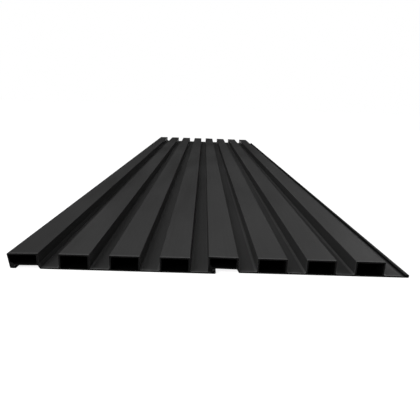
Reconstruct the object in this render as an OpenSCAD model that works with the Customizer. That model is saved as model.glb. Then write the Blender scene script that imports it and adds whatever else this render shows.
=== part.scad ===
// Fluted PVC wall panels: two equal lengths of hollow extruded profile, clicked together along
// their edges and lying on their backs. X runs across the ribs, Y along them, Z out of the wall.

/* [Panel] */
// Length of each panel
panel_len = 1100; // [300:50:3000]
// Number of ribs on one panel
rib_count = 4; // [2:1:8]
// Distance from one rib to the next
rib_pitch = 40; // [34:1:60]
// Width of a rib
rib_w = 24; // [18:1:28]
// Height of the rib tops above the back
rib_h = 13; // [9:0.5:20]
// Thickness of the rib tops, sides and of the web under the first rib
wall_t = 1.2; // [0.8:0.1:1.6]
// Thickness of the back sheet
sheet_t = 1.2; // [1:0.1:1.5]
// Radius of the outer edges along a rib
edge_r = 0.5; // [0.3:0.1:1]
// Radius of the inner corners of the hollows
hollow_r = 0.5; // [0.2:0.1:0.8]
// Radius of the fillet where a rib meets the back sheet
root_r = 1.4; // [0.2:0.1:1.6]

/* [Hook edge] */
// Height of the recess under the first rib
recess_h = 3; // [2.6:0.1:4]
// Width of the hook's foot
foot_w = 3.3; // [2.5:0.1:5]
// Height of the sole above the back, in the section as it leaves the die
sole_z = 0.45; // [0.3:0.05:0.6]
// How much higher the foot's outer side stands than its barb
sole_rise = 0.4; // [0:0.1:0.6]
// Reach of the barb beyond the foot
barb_reach = 1.2; // [0.6:0.1:2]
// Height of the barb where it leaves the foot
barb_root_t = 0.85; // [0.6:0.05:1]
// Height of the barb at its blunt tip
barb_tip_t = 0.5; // [0.3:0.05:0.6]
// How far the leg leans in at its foot while the hook is free
leg_lean = 1.4; // [0:0.1:2.5]
// Sideways run of the slanted step from the web down to the back sheet
step_run = 1.8; // [1:0.1:3]

/* [Tongue edge] */
// Clear groove left between the last rib and the next panel
joint_gap = 14.8; // [10:0.2:20]
// Width of the stem that carries the bead
stem_w = 1.45; // [1.2:0.05:3]
// Radius of the bead's outer top edge
bead_r = 1.1; // [0.4:0.1:1.2]
// Radius of the flange's outer bottom edge
heel_r = 1; // [0.2:0.1:1.2]
// Size of the slanted lead on the bead, which lets the hook snap in
bead_lead = 0.6; // [0.1:0.1:0.7]
// Depth of the channel that the hook stands in
channel_depth = 0.6; // [0.3:0.1:0.7]
// Clearance all round the hook when it is clicked in
click_gap = 0.15; // [0.1:0.05:0.25]

/* [Pair] */
// How far the right panel's near end lies behind the left panel's
end_stagger = 2.9; // [0:0.1:20]

/* [Hidden] */
$fn = 48;
panel_colour = "#3b3b3d";

// The last rib's outer side, and the step from one panel to the next
ribs_w = (rib_count - 1) * rib_pitch + rib_w;
cover_w = ribs_w + joint_gap;

// The top of the web, where the first rib's hollow starts
web_top = recess_h + wall_t;

// The slanted step: its sideways run for each millimetre down, its thickness along X, and the
// foot of its underside, where the first rib hinges while its hook is free
step_slope = step_run / (web_top - sheet_t);
step_t = wall_t * sqrt(1 + step_slope * step_slope);
hinge_x = rib_w + step_slope * web_top - step_t;

// The channel that the hook stands in, and the bead that holds it down
channel_z = sheet_t - channel_depth;
clicked_sole_z = channel_z + click_gap;
channel_x = cover_w - click_gap;
bead_top = recess_h - click_gap;
bead_under = clicked_sole_z + barb_root_t + click_gap;

// The first rib turns a little about its hinge. Free, it sags until its sole rests on the back
// plane, and clicked, the channel lifts it. These are the two angles, and the free rib's outer side
sag = atan(sole_z / (hinge_x - leg_lean - wall_t));
lift = atan((clicked_sole_z - sole_z) / (hinge_x - foot_w - barb_reach));
free_side = hinge_x - edge_r - (hinge_x - edge_r) * cos(sag) - (rib_h - edge_r) * sin(sag);

// The bead's inner side, which clears the lifted foot, then its stem and the flange's edge
bead_x = cover_w + foot_w + bead_top * sin(lift) + click_gap;
stem_x = bead_x + barb_reach;
tongue_end = stem_x + stem_w;

// Overall box of the pair, which is centred on the origin
pair_w = cover_w + tongue_end - free_side;
pair_len = panel_len + end_stagger;

// A shape turned about the first rib's hinge, down on the hook's side where the angle is positive
module hinged(angle) {
    translate([hinge_x, 0])
        rotate(angle)
            translate([-hinge_x, 0])
                children();
}

// A rectangle from the origin with all its corners round
module round_rect(w, h, r) {
    translate([r, 0]) square([w - 2 * r, h]);
    translate([0, r]) square([w, h - 2 * r]);
    for (x = [r, w - r], y = [r, h - r])
        translate([x, y]) circle(r);
}

// A quarter of a disc, which rounds a corner at the upper right
module quarter_disc(r) {
    intersection() {
        circle(r);
        square(r);
    }
}

// The strip along a rib's top, with its two round edges
module rib_cap() {
    translate([edge_r, rib_h - edge_r]) square([rib_w - 2 * edge_r, edge_r]);
    for (x = [edge_r, rib_w - edge_r])
        translate([x, rib_h - edge_r]) circle(edge_r);
}

// The fillet in a corner that opens up and to the right, or to the left with side = -1
module root_fillet(side) {
    mirror([side < 0 ? 1 : 0, 0])
        difference() {
            square(root_r);
            translate([root_r, root_r]) circle(root_r);
        }
}

// A plain rib: a closed tube that stands on the back sheet
module tube_rib() {
    difference() {
        union() {
            square([rib_w, rib_h - edge_r]);
            rib_cap();
            translate([rib_w, sheet_t]) root_fillet(1);
            translate([0, sheet_t]) root_fillet(-1);
        }
        translate([wall_t, sheet_t]) round_rect(rib_w - 2 * wall_t, rib_h - sheet_t - wall_t, hollow_r);
    }
}

// The leg, hook, web and slanted step of the first rib, without its hollow
module hook_rib_outline(lean) {
    foot_x = lean + foot_w;
    polygon([
        // Down the outer side of the leg and along the sole to the barb's tip
        [0, rib_h - edge_r],
        [lean, sole_z + sole_rise],
        [lean + wall_t, sole_z],
        [foot_x + barb_reach, sole_z],
        [foot_x + barb_reach, sole_z + barb_tip_t],
        // Back to the foot, up into the recess and along under the web
        [foot_x, sole_z + barb_root_t],
        [foot_x, recess_h],
        [rib_w + step_slope * wall_t - step_t, recess_h],
        // Down the step to its hinge, into the back sheet, and back up
        [hinge_x, 0],
        [rib_w + step_slope * (web_top - sheet_t / 2), sheet_t / 2],
        [rib_w, web_top],
        [rib_w, rib_h - edge_r],
    ]);
    rib_cap();
}

// The hollow of the first rib: its free side follows the leg, with a haunch over the foot
module hook_rib_hollow(lean) {
    haunch_z = web_top + foot_w - wall_t;
    haunch_x = lean * (rib_h - edge_r - haunch_z) / (rib_h - edge_r - sole_z - sole_rise);
    intersection() {
        translate([wall_t, web_top]) round_rect(rib_w - 2 * wall_t, rib_h - wall_t - web_top, hollow_r);
        polygon([
            [wall_t, rib_h - wall_t],
            [haunch_x + wall_t, haunch_z],
            [lean + foot_w, web_top],
            [rib_w, web_top],
            [rib_w, rib_h],
            [wall_t, rib_h],
        ]);
    }
}

// The back sheet in each groove, from one rib to the next and on to the tongue's channel
module back_sheet() {
    for (i = [0:rib_count - 1]) {
        groove_x = i == 0 ? hinge_x : i * rib_pitch + rib_w - wall_t;
        groove_end = i < rib_count - 1 ? (i + 1) * rib_pitch + wall_t : channel_x;
        translate([groove_x, 0]) square([groove_end - groove_x, sheet_t]);
    }
}

// The tongue: the sheet's thinned edge and the bead that the next panel's hook snaps under
module tongue() {
    polygon([
        [channel_x - wall_t, 0],
        [tongue_end - heel_r, 0],
        [tongue_end, heel_r],
        [tongue_end, bead_top - bead_r],
        [tongue_end - bead_r, bead_top],
        [bead_x + bead_lead, bead_top],
        [bead_x, bead_top - bead_lead],
        [bead_x, bead_under],
        [stem_x, bead_under],
        [stem_x, channel_z],
        [channel_x - wall_t, channel_z],
    ]);
    translate([tongue_end - bead_r, bead_top - bead_r]) quarter_disc(bead_r);
    translate([tongue_end - heel_r, heel_r]) mirror([0, 1]) quarter_disc(heel_r);
}

// The whole cross-section of one panel, its hook edge at x = 0
module profile(lean, angle) {
    hinged(angle)
        difference() {
            hook_rib_outline(lean);
            hook_rib_hollow(lean);
        }
    for (i = [1:rib_count - 1])
        translate([i * rib_pitch, 0]) tube_rib();
    back_sheet();
    tongue();
}

// One length of panel, cut square, with its near end at y = 0
module panel(lean, angle) {
    translate([0, panel_len, 0])
        rotate([90, 0, 0])
            linear_extrude(height = panel_len) profile(lean, angle);
}

// The left panel: its hook is free, so its leg has sprung in and its first rib sags
module left_panel() {
    color(panel_colour)
        translate([-pair_w / 2 - free_side, -pair_len / 2, 0])
            panel(leg_lean, sag);
}

// The right panel: its hook stands in the left panel's channel, which lifts its first rib a little
module right_panel() {
    color(panel_colour)
        translate([cover_w - pair_w / 2 - free_side, end_stagger - pair_len / 2, 0])
            panel(0, -lift);
}

left_panel();
right_panel();
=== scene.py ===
# Two lengths of fluted PVC wall panel, clicked together and lying on a pale studio floor
import math

import bpy
from mathutils import Matrix, Vector

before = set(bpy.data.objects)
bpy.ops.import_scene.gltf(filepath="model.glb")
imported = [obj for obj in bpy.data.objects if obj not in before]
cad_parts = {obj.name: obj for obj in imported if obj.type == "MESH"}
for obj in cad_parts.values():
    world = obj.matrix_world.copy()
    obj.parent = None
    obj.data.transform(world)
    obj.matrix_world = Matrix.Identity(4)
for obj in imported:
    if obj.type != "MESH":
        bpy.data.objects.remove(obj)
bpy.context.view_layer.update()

mm = 0.001
zAxis = Vector((0, 0, 1))
print("Frame loaded:", ", ".join(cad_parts))


def srgb(hexColour):
    # Blender wants linear values, the settings hold sRGB hex
    channels = [int(hexColour[i:i + 2], 16) / 255 for i in (1, 3, 5)]
    return [c / 12.92 if c <= 0.04045 else ((c + 0.055) / 1.055) ** 2.4 for c in channels] + [1]


def addNode(tree, kind, inputs=None, **settings):
    # an input takes a number or colour, a socket, or a node, which links its first output in use
    node = tree.nodes.new(kind)
    for name, value in settings.items():
        setattr(node, name, value)
    for name, value in (inputs or {}).items():
        if isinstance(value, bpy.types.Node):
            value = next(socket for socket in value.outputs if socket.enabled)
        if isinstance(value, bpy.types.NodeSocket):
            tree.links.new(value, node.inputs[name])
        else:
            node.inputs[name].default_value = value
    return node


def emptyTree(owner):
    owner.use_nodes = True
    owner.node_tree.nodes.clear()
    return owner.node_tree


# Rigid PVC, extruded with a matt charcoal skin over a black core. The die and the cooling sizer
# leave soft lengthwise lines and slow cloudy patches in the sheen, and polish the fillets. Painted
# shade: the core colour, near-black, on the undercut beside the bead, the backs, the cut ends and the
# insides of the ribs. Painted highlights: paler colour on the fillets, the raised faces and the cuts.
panelPvc = {
    "skin": "#343434",
    "highlightSkin": "#434343",  # painted highlight on the raised faces and their edges
    "filletHighlight": "#484848",  # painted highlight where the ribs meet the sheet
    # painted shade, the near-black core colour on faces that lie in shade
    "shadedCore": "#060606",
    "burrAndHighlight": "#666666",  # stressed PVC turns pale along a saw cut, and part of this colour is painted highlight
    "ior": 1.53,
    "specular": 0.2,
    "sleekRoughness": 0.38,
    "dullRoughness": 0.52,
    "filletRoughness": 0.3,
    "sawnRoughness": 0.95,
    "lineWidth": 1.8,  # mm, really about 0.3, drawn coarser so that it shows
    "lineLength": 500,  # mm
    "lineDepth": 0.015,  # mm
    "patchWidth": 45,  # mm
    "patchLength": 170,  # mm
    "sawPitch": 0.7,  # mm
    "sawDepth": 0.06,  # mm
    "burrAndHighlightReach": 3,  # mm back from the cut
}

# Where things lie across one panel, in mm from its hook side, as in the section
section = {
    "pitch": 40,
    "ribMiddle": 12,
    "hollowHalf": 11,
    "topHalf": 11.5,  # the flat of a rib's top, between its round edges
    "hollowTop": 12.3,
    "filletTop": 2.7,
    "filletFoot": 13.2,
    "filletEnd": 15.2,  # where its painted highlight has faded out on the sheet
    "flangeStart": 148,  # past the last rib's fillet
    "highlightStart": 156,  # the flange gets painted highlight from here
    "channelStart": 158.65,  # to here, where the hook clicks in
    "skinThins": 160.6,  # painted shade in the channel fades in from here
    "channelShadeFull": 162,  # to here, beside the bead's undercut, where the painted shade is full
    "lipStart": 162.2,  # the side of the bead's lip, where the painted shade stops
    "lipBottom": 1.7,
    "beadMiddle": 164,
    "halfLength": 550,
}


def streaks(tree, coordinates, size, detail):
    # noise stretched to a size in mm along X, Y and Z
    scaled = addNode(tree, "ShaderNodeMapping", {
        "Vector": coordinates.outputs["Object"], "Scale": [1 / (s * mm) for s in size]})
    return addNode(tree, "ShaderNodeTexNoise", {
        "Vector": scaled, "Scale": 1, "Detail": detail, "Roughness": 0.55})


def mattSkinnedPvc(name, hookSide, middleY):
    # hookSide and middleY place the section's masks on one panel, in mm
    material = bpy.data.materials.new("mattSkinnedPvc_" + name)
    tree = emptyTree(material)
    coordinates = addNode(tree, "ShaderNodeTexCoord")
    place = addNode(tree, "ShaderNodeSeparateXYZ", {0: coordinates.outputs["Object"]})
    facing = addNode(tree, "ShaderNodeSeparateXYZ", {0: coordinates.outputs["Normal"]})

    # How far a point lies across the panel, and from the middle of the nearest rib
    across = addNode(tree, "ShaderNodeMath", {0: place.outputs["X"], 1: hookSide * mm}, operation="SUBTRACT")
    fromFirst = addNode(tree, "ShaderNodeMath", {0: across, 1: section["ribMiddle"] * mm}, operation="SUBTRACT")
    fromMiddle = addNode(
        tree, "ShaderNodeMath", {0: fromFirst, 1: section["pitch"] / 2 * mm}, operation="PINGPONG")

    # Painted shade: the near-black core colour inside the ribs, in the channel, under the panel and on the cut ends,
    # where these faces lie in shade
    overHollow = addNode(tree, "ShaderNodeMath", {0: fromMiddle, 1: section["hollowHalf"] * mm}, operation="LESS_THAN")
    belowTop = addNode(
        tree, "ShaderNodeMath", {0: place.outputs["Z"], 1: section["hollowTop"] * mm}, operation="LESS_THAN")
    onRibs = addNode(tree, "ShaderNodeMath", {0: across, 1: section["flangeStart"] * mm}, operation="LESS_THAN")
    pastLip = addNode(tree, "ShaderNodeMath", {0: across, 1: section["lipStart"] * mm}, operation="GREATER_THAN")
    overLip = addNode(
        tree, "ShaderNodeMath", {0: place.outputs["Z"], 1: section["lipBottom"] * mm}, operation="GREATER_THAN")
    onLip = addNode(tree, "ShaderNodeMath", {0: pastLip, 1: overLip}, operation="MULTIPLY")
    outerHalf = addNode(tree, "ShaderNodeMath", {0: across, 1: section["beadMiddle"] * mm}, operation="GREATER_THAN")
    onBead = addNode(tree, "ShaderNodeMath", {0: onLip, 1: outerHalf}, operation="MAXIMUM")
    channelShadeRamp = addNode(tree, "ShaderNodeMapRange", {
        "Value": across, "From Min": section["skinThins"] * mm, "From Max": section["channelShadeFull"] * mm,
        "To Min": 0, "To Max": 1}, interpolation_type="SMOOTHSTEP")
    channelShade = addNode(tree, "ShaderNodeMath", {0: channelShadeRamp, 1: onBead}, operation="SUBTRACT")
    ribInside = addNode(tree, "ShaderNodeMath", {0: overHollow, 1: belowTop}, operation="MULTIPLY")
    inside = addNode(tree, "ShaderNodeMath", {0: ribInside, 1: onRibs}, operation="MULTIPLY")
    shadedRecesses = addNode(tree, "ShaderNodeMath", {0: inside, 1: channelShade}, operation="MAXIMUM")
    under = addNode(tree, "ShaderNodeMath", {0: facing.outputs["Z"], 1: -0.5}, operation="LESS_THAN")
    endwise = addNode(tree, "ShaderNodeMath", {0: facing.outputs["Y"]}, operation="ABSOLUTE")
    cutEnd = addNode(tree, "ShaderNodeMath", {0: endwise, 1: 0.5}, operation="GREATER_THAN")
    underOrCut = addNode(tree, "ShaderNodeMath", {0: under, 1: cutEnd}, operation="MAXIMUM")
    paintedShade = addNode(tree, "ShaderNodeMath", {0: shadedRecesses, 1: underOrCut}, operation="MAXIMUM")

    # Painted highlight on the fillets, with a soft border on the sheet, but not on the hook's side, which is upright
    low = addNode(tree, "ShaderNodeMath", {0: place.outputs["Z"], 1: section["filletTop"] * mm}, operation="LESS_THAN")
    upward = addNode(tree, "ShaderNodeMath", {0: facing.outputs["Z"], 1: 0.4}, operation="GREATER_THAN")
    lowUpward = addNode(tree, "ShaderNodeMath", {0: low, 1: upward}, operation="MULTIPLY")
    filletHighlightFade = addNode(tree, "ShaderNodeMapRange", {
        "Value": fromMiddle, "From Min": section["filletFoot"] * mm, "From Max": section["filletEnd"] * mm,
        "To Min": 1, "To Max": 0}, interpolation_type="SMOOTHSTEP")
    besideRib = addNode(tree, "ShaderNodeMath", {0: filletHighlightFade, 1: onRibs}, operation="MULTIPLY")
    filletHighlightAndPolish = addNode(tree, "ShaderNodeMath", {0: lowUpward, 1: besideRib}, operation="MULTIPLY")

    # Painted highlight on the raised faces, most on their long edges, and on the flange by the channel
    raised = addNode(
        tree, "ShaderNodeMath", {0: place.outputs["Z"], 1: section["hollowTop"] * mm}, operation="GREATER_THAN")
    offTop = addNode(tree, "ShaderNodeMath", {0: fromMiddle, 1: section["topHalf"] * mm}, operation="GREATER_THAN")
    edgeHighlightShare = addNode(tree, "ShaderNodeMath", {0: offTop, 1: 0.5, 2: 0.75}, operation="MULTIPLY_ADD")
    ribHighlight = addNode(tree, "ShaderNodeMath", {0: raised, 1: edgeHighlightShare}, operation="MULTIPLY")
    nearChannelHighlight = addNode(tree, "ShaderNodeMapRange", {
        "Value": across, "From Min": section["highlightStart"] * mm, "From Max": section["channelStart"] * mm,
        "To Min": 0, "To Max": 0.8}, interpolation_type="SMOOTHSTEP")
    beforeChannel = addNode(tree, "ShaderNodeMath", {0: across, 1: section["channelStart"] * mm}, operation="LESS_THAN")
    channelHighlight = addNode(tree, "ShaderNodeMath", {0: nearChannelHighlight, 1: beforeChannel}, operation="MULTIPLY")
    raisedHighlight = addNode(tree, "ShaderNodeMath", {0: ribHighlight, 1: channelHighlight}, operation="MAXIMUM")

    # A pale burr runs along the saw cuts, uneven where the blade tore, and with it a painted highlight, stronger on the
    # upward faces
    fromCentre = addNode(tree, "ShaderNodeMath", {0: place.outputs["Y"], 1: middleY * mm}, operation="SUBTRACT")
    alongHalf = addNode(tree, "ShaderNodeMath", {0: fromCentre}, operation="ABSOLUTE")
    burrAndHighlight = addNode(tree, "ShaderNodeMapRange", {
        "Value": alongHalf, "From Min": (section["halfLength"] - panelPvc["burrAndHighlightReach"]) * mm,
        "From Max": section["halfLength"] * mm, "To Min": 0, "To Max": 1.5}, interpolation_type="SMOOTHSTEP")

    lines = streaks(tree, coordinates, [panelPvc["lineWidth"], panelPvc["lineLength"], panelPvc["lineWidth"]], 2)
    patches = streaks(tree, coordinates, [panelPvc["patchWidth"], panelPvc["patchLength"], panelPvc["patchWidth"]], 2)
    sawMarks = streaks(tree, coordinates, [panelPvc["sawPitch"], 400, 9], 1)
    tears = streaks(tree, coordinates, [2.5, 40, 2.5], 2)

    # The skin colour takes painted highlights on the raised faces and fillets, then the burr with its painted
    # highlight, then the core's painted shade
    highlighted = addNode(tree, "ShaderNodeMix", {
        "Factor": raisedHighlight, 6: srgb(panelPvc["skin"]), 7: srgb(panelPvc["highlightSkin"])}, data_type="RGBA")
    skin = addNode(tree, "ShaderNodeMix", {
        "Factor": filletHighlightAndPolish, 6: highlighted, 7: srgb(panelPvc["filletHighlight"])}, data_type="RGBA")
    shade = addNode(tree, "ShaderNodeMapRange", {
        "Value": lines, "From Min": 0.3, "From Max": 0.7, "To Min": 0.95, "To Max": 1.05})
    cloud = addNode(tree, "ShaderNodeMapRange", {
        "Value": patches, "From Min": 0.3, "From Max": 0.7, "To Min": 0.93, "To Max": 1.07})
    variation = addNode(tree, "ShaderNodeMath", {0: shade, 1: cloud}, operation="MULTIPLY")
    varied = addNode(tree, "ShaderNodeVectorMath", {0: skin, "Scale": variation}, operation="SCALE")
    upwardHighlightShare = addNode(tree, "ShaderNodeMath", {0: upward, 1: 0.65, 2: 0.35}, operation="MULTIPLY_ADD")
    tornBurrAndHighlight = addNode(tree, "ShaderNodeMath", {0: burrAndHighlight, 1: tears}, operation="MULTIPLY")
    sheetBurrAndHighlight = addNode(tree, "ShaderNodeMath", {0: upwardHighlightShare, 1: beforeChannel}, operation="MULTIPLY")
    burrAndHighlightShare = addNode(tree, "ShaderNodeMath", {0: tornBurrAndHighlight, 1: sheetBurrAndHighlight}, operation="MULTIPLY")
    burrAndHighlighted = addNode(tree, "ShaderNodeMix", {
        "Factor": burrAndHighlightShare, 6: varied, 7: srgb(panelPvc["burrAndHighlight"])}, data_type="RGBA")
    colour = addNode(tree, "ShaderNodeMix", {
        "Factor": paintedShade, 6: burrAndHighlighted, 7: srgb(panelPvc["shadedCore"])}, data_type="RGBA")

    sheen = addNode(tree, "ShaderNodeMapRange", {
        "Value": patches, "From Min": 0.3, "From Max": 0.7,
        "To Min": panelPvc["sleekRoughness"], "To Max": panelPvc["dullRoughness"]})
    polished = addNode(tree, "ShaderNodeMix", {
        "Factor": filletHighlightAndPolish, 2: sheen, 3: panelPvc["filletRoughness"]}, data_type="FLOAT")
    roughness = addNode(tree, "ShaderNodeMix", {
        "Factor": cutEnd, 2: polished, 3: panelPvc["sawnRoughness"]}, data_type="FLOAT")
    lineBump = addNode(tree, "ShaderNodeBump", {
        "Height": lines, "Strength": 1, "Distance": panelPvc["lineDepth"] * mm})
    sawBump = addNode(tree, "ShaderNodeBump", {
        "Height": sawMarks, "Strength": cutEnd, "Distance": panelPvc["sawDepth"] * mm, "Normal": lineBump})
    shader = addNode(tree, "ShaderNodeBsdfPrincipled", {
        "Base Color": colour, "Roughness": roughness, "IOR": panelPvc["ior"],
        "Specular IOR Level": panelPvc["specular"], "Normal": sawBump})
    addNode(tree, "ShaderNodeOutputMaterial", {"Surface": shader})
    return material


panels = {
    "left_panel": {"hookSide": -161.75, "middleY": -1.45},
    "right_panel": {"hookSide": -2.95, "middleY": 1.45},
}
for name, where in panels.items():
    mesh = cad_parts[name].data
    mesh.materials.clear()
    mesh.materials.append(mattSkinnedPvc(name, where["hookSide"], where["middleY"]))
print("Skin and core PVC on", ", ".join(panels))

# The camera stands low over the near cut ends, a little left of the middle
view = {
    "place": (-10.08, -833.47, 131.24),  # mm
    "yaw": 1.359,  # degrees to the right of straight along the ribs
    "pitch": 15.473,  # degrees down
    "roll": 2.214,  # degrees
    "focal": 381.81,  # in pixels of the 420 wide picture
    "sensor": 36,  # mm
    "pixels": 420,
}


def addCamera():
    data = bpy.data.cameras.new("camera")
    data.sensor_width = view["sensor"]
    data.lens = view["sensor"] * view["focal"] / view["pixels"]
    data.clip_start = 0.01
    camera = bpy.data.objects.new("camera", data)
    bpy.context.scene.collection.objects.link(camera)
    yaw, pitch, roll = (math.radians(view[name]) for name in ("yaw", "pitch", "roll"))
    forward = Vector((math.sin(yaw) * math.cos(pitch), math.cos(yaw) * math.cos(pitch), -math.sin(pitch)))
    side = forward.cross(zAxis).normalized()
    above = side.cross(forward)
    right = side * math.cos(roll) + above * math.sin(roll)
    upward = above * math.cos(roll) - side * math.sin(roll)
    turn = Matrix((right, upward, -forward)).transposed()
    camera.matrix_world = Matrix.Translation(Vector(view["place"]) * mm) @ turn.to_4x4()
    bpy.context.scene.camera = camera


addCamera()
print("Camera placed")

studio = {
    "floorWidth": 24,  # m
    "floorDrop": 0.1,  # mm under the backs, so that the two don't flicker
    "floorColour": "#3a3a3a",  # what the floor throws back at the panels
    "floorGlow": 0.86,  # near the panels, so that their soft shadow stays on a white floor
    "shadowTint": "#c0c0c0",
    "shadowReach": (0.9, 1.8),  # m, where the floor turns from keeping shadows to plain white
    "worldFill": 0.04,
    "curtainRadius": 2.4,  # m
    "curtainHeight": 3.2,  # m
    "curtainColour": "#101010",
}


def whiteToTheEye(tree, dimShader, whiteShader, outputKind):
    # the camera and reflections see the white shader, and diffuse light sees the dim one
    ray = addNode(tree, "ShaderNodeLightPath")
    mirrored = addNode(tree, "ShaderNodeMath", {
        0: ray.outputs["Is Glossy Ray"], 1: ray.outputs["Is Transmission Ray"]}, operation="MAXIMUM")
    seen = addNode(tree, "ShaderNodeMath", {0: ray.outputs["Is Camera Ray"], 1: mirrored}, operation="MAXIMUM")
    mixed = addNode(tree, "ShaderNodeMixShader", {0: seen, 1: dimShader, 2: whiteShader})
    addNode(tree, outputKind, {"Surface": mixed})


def addFloor():
    bpy.ops.object.select_all(action="DESELECT")
    bpy.ops.mesh.primitive_plane_add(size=studio["floorWidth"], location=(0, 0, -studio["floorDrop"] * mm))
    floor = bpy.context.object
    floor.name = "studioFloor"
    material = bpy.data.materials.new("paleFloor")
    tree = emptyTree(material)
    dim = addNode(tree, "ShaderNodeBsdfDiffuse", {"Color": srgb(studio["floorColour"])})
    coordinates = addNode(tree, "ShaderNodeTexCoord")
    fromPanels = addNode(tree, "ShaderNodeVectorMath", {0: coordinates.outputs["Object"]}, operation="LENGTH")
    near, far = studio["shadowReach"]
    glow = addNode(tree, "ShaderNodeMapRange", {
        "Value": fromPanels.outputs["Value"], "From Min": near, "From Max": far,
        "To Min": studio["floorGlow"], "To Max": 1}, interpolation_type="SMOOTHSTEP")
    white = addNode(tree, "ShaderNodeEmission", {"Color": (1, 1, 1, 1), "Strength": glow})
    shadowed = addNode(tree, "ShaderNodeBsdfDiffuse", {"Color": srgb(studio["shadowTint"])})
    pale = addNode(tree, "ShaderNodeAddShader", {0: white, 1: shadowed})
    whiteToTheEye(tree, dim, pale, "ShaderNodeOutputMaterial")
    floor.data.materials.append(material)


def addWorld():
    world = bpy.data.worlds.new("paleStudio")
    bpy.context.scene.world = world
    tree = emptyTree(world)
    dim = addNode(tree, "ShaderNodeBackground", {"Color": (1, 1, 1, 1), "Strength": studio["worldFill"]})
    white = addNode(tree, "ShaderNodeBackground", {"Color": (1, 1, 1, 1), "Strength": 1})
    whiteToTheEye(tree, dim, white, "ShaderNodeOutputWorld")


def addCurtain():
    # a black curtain round the set keeps the white sheen off the dark plastic, as in a real studio
    bpy.ops.object.select_all(action="DESELECT")
    bpy.ops.mesh.primitive_cylinder_add(
        vertices=64, radius=studio["curtainRadius"], depth=studio["curtainHeight"], end_fill_type="NOTHING",
        location=(0, 0, studio["curtainHeight"] / 2))
    curtain = bpy.context.object
    curtain.name = "blackCurtain"
    curtain.visible_camera = False
    curtain.visible_diffuse = False
    material = bpy.data.materials.new("blackVelvet")
    tree = emptyTree(material)
    velvet = addNode(tree, "ShaderNodeBsdfDiffuse", {"Color": srgb(studio["curtainColour"])})
    addNode(tree, "ShaderNodeOutputMaterial", {"Surface": velvet})
    curtain.data.materials.append(material)


addFloor()
addWorld()
addCurtain()
print("Floor, world and curtain set")

# Soft light from the upper left, and weaker light from the right and from behind for the sheen
softboxes = {
    "frontLeft": {"place": (-0.9, -1.2, 0.9), "aim": (0, 0, 0), "size": (1, 1), "watts": 13},
    "overhead": {"place": (-0.7, 0.1, 2.3), "aim": (0, 0, 0), "size": (1.4, 1.4), "watts": 9},
    "backOverhead": {"place": (0.1, 1.7, 1.6), "aim": (0, 0, 0), "size": (1, 0.8), "watts": 1.5},
    "backRight": {"place": (1.3, 1.4, 0.9), "aim": (0.1, -0.4, 0), "size": (0.7, 0.6), "watts": 1.8},
    "backRightNear": {"place": (0.85, 1.5, 1.05), "aim": (0.1, -0.4, 0), "size": (0.6, 0.5), "watts": 0.25},
    "rightSide": {"place": (1.4, -0.1, 0.9), "aim": (0, 0, 0), "size": (0.7, 0.7), "watts": 2.4},
}


def addSoftbox(name, box):
    data = bpy.data.lights.new(name, "AREA")
    data.shape = "RECTANGLE"
    data.size, data.size_y = box["size"]
    data.energy = box["watts"]
    lamp = bpy.data.objects.new(name, data)
    lamp.location = box["place"]
    lamp.rotation_euler = (Vector(box["place"]) - Vector(box["aim"])).to_track_quat("Z", "Y").to_euler()
    bpy.context.scene.collection.objects.link(lamp)


for name, box in softboxes.items():
    addSoftbox(name, box)
bpy.context.scene.view_settings.view_transform = "Standard"
print("Softboxes lit:", len(softboxes))
